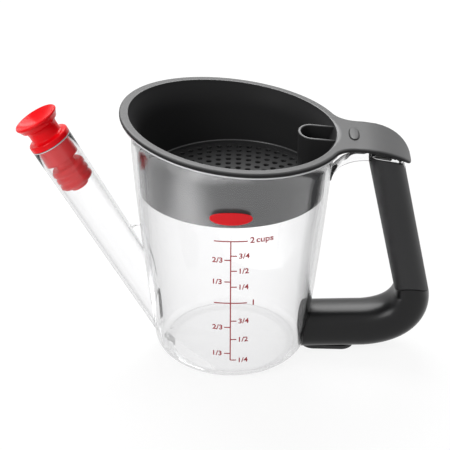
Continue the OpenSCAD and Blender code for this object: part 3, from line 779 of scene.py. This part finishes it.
handleValues = {
    "stemX": 91.225 * mm, "seam": 35.3 * mm, "lean": 13.2, "halfThick": 8.4 * mm, "halfWide": 12.5 * mm,
    "power": 2.5, "seamSag": 5.2 * mm, "sides": 72, "rows": 16, "edge": 0.6 * mm, "gap": 0.1 * mm,
    "stemThick": 8 * mm, "stemWide": 16 * mm, "stemTail": 8 * mm, "stemInCap": 0.9 * mm,
    "capTop": 2.1 * mm, "capThick": 2.3 * mm, "capWedge": 3.4 * mm, "capEdge": 0.5 * mm,
    "bridgeWide": 16 * mm, "bridgeEdge": 0.8 * mm, "bridgeRoot": 20 * mm, "bridgeEnd": 9 * mm,
    "bridgeStart": 43 * mm, "bridgeArcEnd": 63.8 * mm, "bridgeStop": 77.8 * mm, "bridgeOver": 4 * mm,
}
endScales = (0.1, 0.4, 0.75)      # rings that close a bar's ends
edgeAngles = (0, 22.5, 45, 67.5, 90)


def cupProfile(inset, foot, corner, atRim, stop):
    start = foot + corner
    r = wallRadius(start) - inset
    low, flare = rimValues["height"] - rimValues["flare"], rimValues["flare"]
    profile = [(0, foot)] + arc(r - corner, start, corner, -90, 0, 12)
    profile += [(wallRadius(z) - inset, z) for z in evenly(start, low, 20)]
    return profile + [(flareRadius(atRim, -inset, d), rimValues["height"] - d)
                      for d in evenly(flare, stop, 8)]


def cupOutside(name, grow):
    v = cupValues
    atRim = rimValues["inner"] + strainerValues["wall"] + v["play"] + v["wall"] + grow
    low = v["flangeDrop"] + v["flangeThick"]
    profile = cupProfile(-grow, -grow, v["corner"], atRim, low)
    e, r = v["flangeEdge"], v["flange"] + grow
    under, over = rimValues["height"] - low - grow, rimValues["height"] - v["flangeDrop"] + grow
    profile += arc(r - e, under + e, e, -90, 0, 4) + arc(r - e, over - e, e, 0, 90, 4) + [(0, over)]
    bm = turned(profile, v["steps"])
    slantWithRim(bm)
    return looseObject(name, bm)


def cupHollow(name):
    v = cupValues
    atRim = rimValues["inner"] + strainerValues["wall"] + v["play"]
    profile = cupProfile(v["wall"], v["floor"], v["innerCorner"], atRim, -v["over"])
    edge, wide = profile[1][0], v["beadWide"]
    bead = [(edge - wide * (1 - i / 8), v["floor"] + v["bead"] * math.sin(math.pi * i / 8))
            for i in range(8)]
    bm = turned(profile[:1] + bead + profile[1:] + [(0, rimValues["height"] + v["over"])], v["steps"])
    slantWithRim(bm)
    return looseObject(name, bm)


def boxBetween(name, low, high):
    bm = bmesh.new()
    bmesh.ops.create_cube(bm, size=1)
    for w in bm.verts:
        w.co = Vector([(a + b) / 2 + (b - a) * c for a, b, c in zip(low, high, w.co)])
    return looseObject(name, bm)


def slab(points, half, edge, segments=3):
    bm = loft([[(x, side * half, z) for x, z in points] for side in (-1, 1)])
    if edge:
        bevelSharp(bm, edge, segments, 50)
    return bm


def toMouth(bm):
    v = spoutValues
    lean = math.radians(v["lean"])
    mouth = (v["footX"] - v["length"] * math.sin(lean), 0, v["length"] * math.cos(lean))
    turn = Matrix.Translation(mouth) @ Matrix.Rotation(-lean, 4, "Y")
    bmesh.ops.transform(bm, matrix=turn, verts=bm.verts)
    return bm


def tubeProfile(foot, mouth, grow=0):
    length = spoutValues["length"]
    slope = (mouth - foot) / length
    levels = [-length * (1 - i / 12) for i in range(12)]
    return [(0, -length)] + [(mouth + grow + z * slope, z) for z in levels]


def spoutForm(name, grow=0):
    v = spoutValues
    profile = tubeProfile(v["footRadius"], v["mouthRadius"], grow)
    profile += arc(v["mouthRadius"] - v["edge"], -v["edge"], v["edge"], 0, 90, 4) + [(0, 0)]
    bm = toMouth(turned(profile, v["steps"]))
    bmesh.ops.bisect_plane(bm, geom=bm.verts[:] + bm.edges[:] + bm.faces[:], dist=1e-7,
                           plane_co=(0, 0, v["footCut"]), plane_no=(0, 0, 1), clear_inner=True)
    bmesh.ops.holes_fill(bm, edges=[e for e in bm.edges if e.is_boundary], sides=0)
    bmesh.ops.recalc_face_normals(bm, faces=bm.faces)
    return looseObject(name, bm)


def boreForm(name):
    v = spoutValues
    mouth, e = v["mouthRadius"] - v["wall"], v["edge"]
    profile = tubeProfile(v["footRadius"] - v["wall"], mouth)
    profile += [(mouth + e - e * math.cos(t), -e + e * math.sin(t)) for t in radiansOf(0, 30, 60, 90)]
    profile += [(mouth + e, v["over"]), (0, v["over"])]
    return looseObject(name, toMouth(turned(profile, v["steps"])))


def barPlace(u, y, s):
    v = handleValues
    lean = math.radians(v["lean"])
    return (v["stemX"] + u * math.cos(lean) - s * math.sin(lean), y,
            v["seam"] + u * math.sin(lean) + s * math.cos(lean))


# how far along the bar its line meets the hood's top less a depth, found by stepping closer
def alongToHood(u, depth):
    lean = math.radians(handleValues["lean"])
    s = 80 * mm
    for _ in range(25):
        x = barPlace(u, 0, s)[0]
        s = (hoodHeight(x, depth) - handleValues["seam"] - u * math.sin(lean)) / math.cos(lean)
    return s


def alongToCap(u, y=0):
    v = handleValues
    wedge = v["capWedge"] * (v["halfThick"] - u) / (2 * v["halfThick"])
    return alongToHood(u, v["capTop"] + v["capThick"]) - wedge


def alongToSeam(u, y, gap=0):
    v = handleValues
    r = (v["halfWide"] ** 2 + v["seamSag"] ** 2) / (2 * v["seamSag"])
    lift = r - math.sqrt(r * r - min(abs(y), v["halfWide"]) ** 2)
    lean = math.radians(v["lean"])
    return (lift - gap - u * math.sin(lean)) / math.cos(lean)


def barRing(along, inward=0, scale=1, shift=0):
    v = handleValues
    ring = ovalRing(v["halfThick"] - inward, v["halfWide"] - inward, v["power"], v["sides"])
    return [barPlace(u, y, along(u, y) + shift) for u, y in ((u * scale, y * scale) for u, y in ring)]


def barForm(low, high, edge, rows):
    steps = edgeSteps(edge, *edgeAngles)
    rings = [barRing(low, edge, k) for k in endScales]
    rings += [barRing(low, inward, shift=up) for inward, up in steps]
    for part in (i / rows for i in range(1, rows)):
        rings.append(barRing(lambda u, y: (low(u, y) + edge) * (1 - part) + (high(u, y) - edge) * part))
    rings += [barRing(high, inward, shift=-up) for inward, up in steps[::-1]]
    rings += [barRing(high, edge, k) for k in endScales[::-1]]
    return loft(rings)


def stemForm(name, gap):
    v = handleValues
    r, flat = v["stemThick"] / 2 + gap, (v["stemWide"] - v["stemThick"]) / 2
    turns = radiansOf(*range(0, 181, 15))
    ring = [(r * math.cos(t), flat + r * math.sin(t)) for t in turns]
    ring += [(-r * math.cos(t), -flat - r * math.sin(t)) for t in turns]
    foot = -(v["stemTail"] + gap) / math.cos(math.radians(v["lean"]))
    lean = math.tan(math.radians(v["lean"]))
    rings = [[barPlace(u, y, foot - u * lean) for u, y in ring],
             [barPlace(u, y, alongToHood(u, v["capTop"] + v["stemInCap"])) for u, y in ring]]
    return looseObject(name, loft(rings))


def bridgeForm(name, gap):
    v = handleValues
    topZ = rimHeight(rimValues["outer"]) - strainerValues["plate"]
    low, rise, end = topZ - v["bridgeRoot"], v["bridgeRoot"] - v["bridgeEnd"], v["bridgeStop"] + gap
    root = wallRadius(low)
    reach = v["bridgeArcEnd"] - root
    points = [(v["bridgeStart"], low)]
    points += [(root + reach + reach * math.cos(t), low + rise * math.sin(t) - gap)
               for t in radiansOf(*range(180, 89, -6))]
    points.append((end, topZ - v["bridgeEnd"] - gap))
    xs = [end - (end - v["bridgeStart"]) * i / 24 for i in range(25)]
    points += [(x, topZ + v["bridgeOver"] if gap else hoodHeight(x, v["capTop"])) for x in xs]
    return looseObject(name, slab(points, v["bridgeWide"] / 2 + gap, 0 if gap else v["bridgeEdge"]))


def bossForm(name, gap):
    v = cupValues
    start = wallValues["footRadius"] - v["wall"]
    end, r, e = wallRadius(v["bossHeight"]) + v["bossLength"] + gap, v["bossRadius"] + gap, v["bossEdge"]
    bm = turned([(0, start), (r, start), (r, end - e), (r - e, end), (0, end)], v["bossSides"])
    turn = Matrix.Translation((0, 0, v["bossHeight"])) @ Matrix.Rotation(math.radians(90), 4, "Y")
    bmesh.ops.transform(bm, matrix=turn, verts=bm.verts)
    return looseObject(name, bm)


def addClearBody(v):
    body, h = cupOutside("clear_body", 0), handleValues
    cap = barForm(alongToCap, lambda u, y: alongToHood(u, h["capTop"]), h["capEdge"], 2)
    combine(body, "UNION", spoutForm("spout_form"), bridgeForm("bridge_form", 0),
            looseObject("cap_form", cap), stemForm("stem_form", 0), bossForm("boss_form", 0))
    keep, far = cupOutside("kept_wall", 0), v["far"]
    combine(keep, "DIFFERENCE",
            boxBetween("port_gap", (-far, -far, v["floor"]), (far, far, spoutValues["portTop"])))
    bore = boreForm("bore_form")
    combine(bore, "DIFFERENCE", keep)
    combine(body, "DIFFERENCE", cupHollow("cup_hollow"), bore, screwForm("screw_hole", h["gap"]))
    finishPiece(body, "body", "clear_plastic", "cup", "spout", "handle_frame", smooth=30)


def addWeb(v):
    lean, wall = math.tan(math.radians(v["lean"])), -wallValues["footRadius"]
    points = [(v["footX"] - v["webTop"] * lean, v["webTop"]), (wall, v["webTop"]),
              (wall, v["webLow"]), (v["footX"] - v["webLow"] * lean, v["webLow"])]
    web = looseObject("spout_web", slab(points, v["webThick"] / 2, v["webEdge"], 6))
    combine(web, "DIFFERENCE", spoutForm("spout_space", v["webGap"]), cupOutside("wall_space", v["webGap"]))
    finishPiece(web, "body", "clear_plastic")


# pale rings on the edges of the flange and of the spout's mouth, painted highlights as thin pale lines where
# these edges catch the light:
# radius and height in mm, the mouth's height measured from the mouth
paleHighlightValues = {
    "flange": ((53.74, 121.35), (53.86, 121.4), (53.86, 122.05), (53.74, 122.1)),
    "mouth": ((10.3, -0.3), (10.46, -0.3), (10.46, 0.08), (9.4, 0.08), (9.4, -0.02), (10.3, -0.02)),
}


# a pale ring laid on an edge as a painted highlight
def addHighlightRing(name, profile, settle):
    bm = bmesh.new()
    turns = [2 * math.pi * i / cupValues["steps"] for i in range(cupValues["steps"])]
    rings = [[(r * mm * math.cos(t), r * mm * math.sin(t), z * mm) for t in turns] for r, z in profile]
    ring = ringOf(bm, rings[0])
    for places in rings[1:] + rings[:1]:
        ring = nextRing(bm, ring, places)
    bmesh.ops.remove_doubles(bm, verts=bm.verts, dist=1e-6)
    bmesh.ops.recalc_face_normals(bm, faces=bm.faces)
    settle(bm)
    finishPiece(looseObject(name, bm), "body", "clear_plastic", finish="pale_edge_highlight")


# Screw that holds the lower arm to the cup

screwValues = {"out": 10 * mm, "foot": 2.2 * mm, "headRadius": 3.2 * mm, "headThick": 2 * mm,
               "shankRadius": 1.5 * mm, "shankLength": 9 * mm, "slot": 0.8 * mm, "slotDepth": 1 * mm,
               "slotReach": 0.7, "edge": 0.3 * mm, "sides": 40}


def screwForm(name, gap):
    v = screwValues
    head, shank = v["headRadius"] + gap, v["shankRadius"] + gap
    top, end = v["foot"] + v["headThick"] + gap, v["foot"] + v["headThick"] + v["shankLength"] + gap
    e = v["edge"]
    profile = [(0, v["foot"]), (head - e, v["foot"]), (head, v["foot"] + e), (head, top), (shank, top),
               (shank, end - e), (shank - e, end), (0, end)]
    bm = turned(profile, v["sides"])
    centre = wallRadius(cupValues["bossHeight"]) + v["out"]
    bmesh.ops.translate(bm, verts=bm.verts, vec=(centre, 0, 0))
    return looseObject(name, bm)


def addScrew(v):
    screw = screwForm("arm_screw_body", 0)
    centre = wallRadius(cupValues["bossHeight"]) + v["out"]
    long, half = v["headRadius"] * v["slotReach"], v["slot"] / 2
    low, high = v["foot"] - v["slotDepth"], v["foot"] + v["slotDepth"]
    for x, y in ((long, half), (half, long)):
        combine(screw, "DIFFERENCE", boxBetween("slot", (centre - x, -y, low), (centre + x, y, high)))
    finishPiece(screw, "body", "screw_steel", "arm_screw")


# Grip, lower arm and the pad under it

armValues = {
    "low": 12.1 * mm, "rise": 1.4 * mm, "halfThick": 10.8 * mm, "bend": 24 * mm,
    "kneeOut": 0.8 * mm, "kneeDrop": 10 * mm, "bendIn": 5.5 * mm, "bendUp": 1.9 * mm,
    "fromCup": 0.05 * mm, "firstRing": 0.06, "lookBack": 0.01,
}
padUnderValues = {"end": 63.3 * mm, "length": 27 * mm, "width": 13 * mm, "thick": 2.2 * mm,
                  "edge": 0.45 * mm}


def addGrip(v):
    bm = barForm(alongToSeam, lambda u, y: alongToCap(u) - v["gap"], v["edge"], v["rows"])
    grip = looseObject("grip_body", bm)
    combine(grip, "DIFFERENCE", stemForm("stem_space", v["gap"]), bridgeForm("bridge_space", v["gap"]))
    finishPiece(grip, "body", "soft_grip", "grip", smooth=30)


def armMiddle(t):
    v, w = armValues, handleValues
    foot, inner = Vector((w["stemX"], w["seam"])), Vector((w["stemX"] - v["bend"], v["low"] + v["rise"]))
    knee = Vector((w["stemX"] + v["kneeOut"], w["seam"] - v["kneeDrop"]))
    bend = Vector((w["stemX"] - v["bendIn"], v["low"] + v["rise"] + v["bendUp"]))
    if t <= 1:
        return (foot * (1 - t) ** 3 + knee * 3 * (1 - t) ** 2 * t + bend * 3 * (1 - t) * t * t
                + inner * t ** 3)
    end = Vector((wallValues["footRadius"] - cupValues["wall"], v["low"]))
    return inner + (end - inner) * (t - 1)


def armRing(t):
    v, w = armValues, handleValues
    half = w["halfThick"] / math.cos(math.radians(w["lean"]))
    half += (v["halfThick"] - half) * (1 - (1 - min(t, 1)) ** 3)
    centre = armMiddle(t)
    way = (centre - armMiddle(t - v["lookBack"])).normalized()
    return [(centre.x - way.y * p, y, centre.y + way.x * p)
            for p, y in ovalRing(half, w["halfWide"], w["power"], w["sides"])]


def heelForm(name, gap, top, edge):
    v = padUnderValues
    r, flat = v["width"] / 2 + gap, (v["length"] - v["width"]) / 2
    centre = v["end"] - v["length"] / 2

    def outline(inward, z):
        half = [(flat + (r - inward) * math.cos(t), (r - inward) * math.sin(t))
                for t in radiansOf(*range(-90, 91, 9))]
        return [(centre + side * x, side * y, z) for side in (1, -1) for x, y in half]

    steps = edgeSteps(edge, 0, 30, 60, 90) if edge else [(0, 0)]
    return looseObject(name, loft([outline(inward, up - gap) for inward, up in steps] + [outline(0, top)]))


def addArm(v):
    gap, edge = handleValues["gap"], handleValues["edge"]
    rings = [barRing(lambda u, y: alongToSeam(u, y, gap), edge, k) for k in endScales]
    rings += [barRing(lambda u, y: alongToSeam(u, y, gap + down), inward)
              for inward, down in edgeSteps(edge, *edgeAngles)]
    rings += [armRing(v["firstRing"] + (1 - v["firstRing"]) * i / 24) for i in range(25)]
    rings += [armRing(1 + i / 6) for i in range(1, 7)]
    arm = looseObject("lower_arm_body", loft(rings))
    combine(arm, "DIFFERENCE", cupOutside("cup_space", v["fromCup"]), bossForm("boss_space", gap),
            stemForm("stem_socket", gap), heelForm("heel_space", gap, padUnderValues["thick"], 0),
            screwForm("screw_space", gap))
    finishPiece(arm, "body", "arm_plastic", "lower_arm", smooth=30)


def addHeelPad(v):
    pad = heelForm("heel_pad_body", 0, v["thick"] - handleValues["gap"], v["edge"])
    finishPiece(pad, "body", "soft_grip", "heel_pad")


# Stopper in the spout's mouth

stopperValues = {
    "headRadius": 11.2 * mm, "head": 14.6 * mm, "headEdge": 0.8 * mm, "dish": 4 * mm,
    "waist": 7.6 * mm, "brim": 10.5 * mm, "brimThick": 3.4 * mm, "brimEdge": 1.1 * mm,
    "seat": 0.3 * mm, "plugLength": 9.9 * mm, "plug": 8.9 * mm, "plugEdge": 0.6 * mm,
    "core": 4.9 * mm, "groove": 3.6 * mm, "fins": 3, "finPitch": 3.7 * mm, "finOut": 0.9 * mm,
    "finRadius": 8.7 * mm, "endRadius": 4.7 * mm, "endThick": 2.4 * mm, "steps": 96,
    "smallEdge": 0.3 * mm,
    "fin": ((0, 0.05), (0.8, 0.3), (1, 0.38), (1, 0.62), (0.8, 0.7), (0, 0.95)),   # shares out and down
}


def addStopper(v):
    flat, e = v["headRadius"] - v["headEdge"], v["headEdge"]
    profile = [(flat * i / 12, v["head"] - v["dish"] * (1 - (i / 12) ** 2)) for i in range(12)]
    profile += arc(flat, v["head"] - e, e, 75, -60, 9)
    neckZ, neckOut = v["head"] / 2, flat - e - v["waist"]
    quarter = radiansOf(*(90 - 90 * i / 12 for i in range(13)))
    s = v["smallEdge"]
    profile += [(v["waist"] + neckOut - neckOut * math.cos(t), neckZ + (neckZ - v["dish"]) * math.sin(t))
                for t in quarter]
    b, brim = v["brimEdge"], v["brim"] - v["brimEdge"]
    profile += [(brim + (v["waist"] - brim) * math.cos(t), v["brimThick"] + b - b * math.sin(t))
                for t in quarter[::-1]]
    profile += arc(brim, v["brimThick"] - b, b, 75, 0, 6)
    profile += arc(v["brim"] - s, v["seat"] + s, s, 0, -90, 3)
    profile += [(v["plug"] + s, v["seat"]), (v["plug"], v["seat"] - s)]
    p = v["plugEdge"]
    profile += arc(v["plug"] - p, p - v["plugLength"], p, 0, -90, 4)
    profile += [(v["core"] + s, -v["plugLength"]), (v["core"], -v["plugLength"] - s)]
    top = -v["plugLength"] - v["groove"]
    body = v["finRadius"] - v["finOut"]
    profile.append((v["core"], top))
    for i in range(v["fins"]):
        for out, down in v["fin"]:
            profile.append((body + out * v["finOut"], top - (i + down) * v["finPitch"]))
    tip = top - v["fins"] * v["finPitch"]
    profile += [(body - s, tip), (v["endRadius"], tip)]
    profile += arc(v["endRadius"] - p, tip - v["endThick"] + p, p, 0, -90, 4) + [(0, tip - v["endThick"])]
    bm = turned(profile[::-1], v["steps"])
    plugShares = [1 if w.co.z < v["seat"] / 2 else 0 for w in bm.verts]
    stopper = looseObject("stopper_body", toMouth(bm))
    markPoints(stopper, "plug", plugShares)
    finishPiece(stopper, "spout_stopper", "red_silicone", "stopper")


# Measuring scale and plain badge, printed on the wall

scaleValues = {
    "off": 0.06 * mm, "thick": 0.1 * mm, "line": 0.58 * mm, "bold": 0.022, "space": 0.5,
    "middle": 0.7 * mm, "low": 14.2 * mm, "high": 85.1 * mm, "stepAcross": 1 * mm, "stepUp": 3 * mm,
    # in mm: heights of the marks, their reach left and right, figures in turn, how far across, how high
    "marks": (((49.4,), 7.9, 7.9, ("1",), 11.6, 3.2),
              ((85.1,), 7.9, 7.9, ("2 cups",), 15.1, 4.3),
              ((14.2, 27.2, 38.6, 59, 68.3, 76.9), 0, 2.99, ("1/4", "1/2", "3/4"), 7.1, 3),
              ((18.4, 34.7, 62, 74.5), 2.99, 0, ("1/3", "2/3"), -5.6, 3)),
}
badgeValues = {"halfWide": 10 * mm, "halfHigh": 3.4 * mm, "power": 2.2, "drop": 27 * mm,
               "rise": 0.2 * mm, "edge": 0.12 * mm, "sides": 72, "rings": (0.02, 0.2, 0.4, 0.6, 0.8)}


def wrapOnWall(bm):
    for w in bm.verts:
        reach = wallRadius(w.co.z) - w.co.y
        w.co.y = -math.sqrt(reach * reach - w.co.x * w.co.x)


def thicken(bm, faces, v):
    raised = bmesh.ops.extrude_face_region(bm, geom=faces)["geom"]
    bmesh.ops.translate(bm, verts=[g for g in raised if isinstance(g, bmesh.types.BMVert)],
                        vec=(0, -v["thick"], 0))


def addBar(bm, left, right, low, high, v):
    place = (Matrix.Translation(((left + right) / 2, -v["off"], (low + high) / 2))
             @ Matrix.Rotation(math.radians(90), 4, "X") @ Matrix.Diagonal((right - left, high - low, 1, 1)))
    grid = bmesh.ops.create_grid(bm, x_segments=max(1, round((right - left) / v["stepAcross"])),
                                 y_segments=max(1, round((high - low) / v["stepUp"])), size=0.5, matrix=place)
    thicken(bm, list({f for w in grid["verts"] for f in w.link_faces}), v)


def addFigure(bm, text, x, z, height, v):
    curve = bpy.data.curves.new("figure", "FONT")
    curve.body = text
    curve.resolution_u = 3
    curve.offset = v["bold"]
    curve.space_word = v["space"]
    holder = bpy.data.objects.new("figure", curve)
    bpy.context.scene.collection.objects.link(holder)
    bpy.context.view_layer.update()
    mesh = bpy.data.meshes.new_from_object(holder.evaluated_get(bpy.context.evaluated_depsgraph_get()))
    bpy.data.objects.remove(holder)
    shape = bmesh.new()
    shape.from_mesh(mesh)
    bpy.data.meshes.remove(mesh)
    bmesh.ops.remove_doubles(shape, verts=shape.verts, dist=1e-5)
    xs, ys = [w.co.x for w in shape.verts], [w.co.y for w in shape.verts]
    size = height / (max(ys) - min(ys))
    midX, midY = (max(xs) + min(xs)) / 2, (max(ys) + min(ys)) / 2
    for w in shape.verts:
        w.co = (x + (w.co.x - midX) * size, -v["off"], z + (w.co.y - midY) * size)
    thicken(shape, shape.faces[:], v)
    bmesh.ops.recalc_face_normals(shape, faces=shape.faces)
    done = bpy.data.meshes.new("figure")
    shape.to_mesh(done)
    shape.free()
    bm.from_mesh(done)
    bpy.data.meshes.remove(done)


def addScale(v):
    bm = bmesh.new()
    middle, half = v["middle"], v["line"] / 2
    addBar(bm, middle - half, middle + half, v["low"], v["high"], v)
    for heights, left, right, texts, across, size in v["marks"]:
        for i, z in enumerate(heights):
            addBar(bm, middle - left * mm, middle + right * mm, z * mm - half, z * mm + half, v)
            addFigure(bm, texts[i % len(texts)], across * mm, z * mm, size * mm, v)
    wrapOnWall(bm)
    bmesh.ops.recalc_face_normals(bm, faces=bm.faces)
    finishPiece(looseObject("scale_print_body", bm), "body", "scale_print", "scale_marks")


def addBadge(v):
    full = ovalRing(v["halfWide"], v["halfHigh"], v["power"], v["sides"])
    centre = rimValues["height"] - v["drop"]
    middle, off, rise = scaleValues["middle"], scaleValues["off"], v["rise"]
    levels = [(k, 0) for k in v["rings"]] + [(1, 0), (1, rise - v["edge"])]
    levels += [(1 - v["edge"] / v["halfHigh"], rise)] + [(k, rise) for k in v["rings"][::-1]]
    bm = loft([[(middle + x * k, -off - out, centre + z * k) for x, z in full] for k, out in levels])
    wrapOnWall(bm)
    bmesh.ops.recalc_face_normals(bm, faces=bm.faces)
    finishPiece(looseObject("badge_body", bm), "body", "badge_print", "badge")


addClearBody(cupValues)
addWeb(spoutValues)
addHighlightRing("flange_highlight", paleHighlightValues["flange"], slantWithRim)
addHighlightRing("mouth_highlight", paleHighlightValues["mouth"], toMouth)
addScrew(screwValues)
addGrip(handleValues)
addArm(armValues)
addHeelPad(padUnderValues)
addStopper(stopperValues)
addScale(scaleValues)
addBadge(badgeValues)
print("pieces ready")
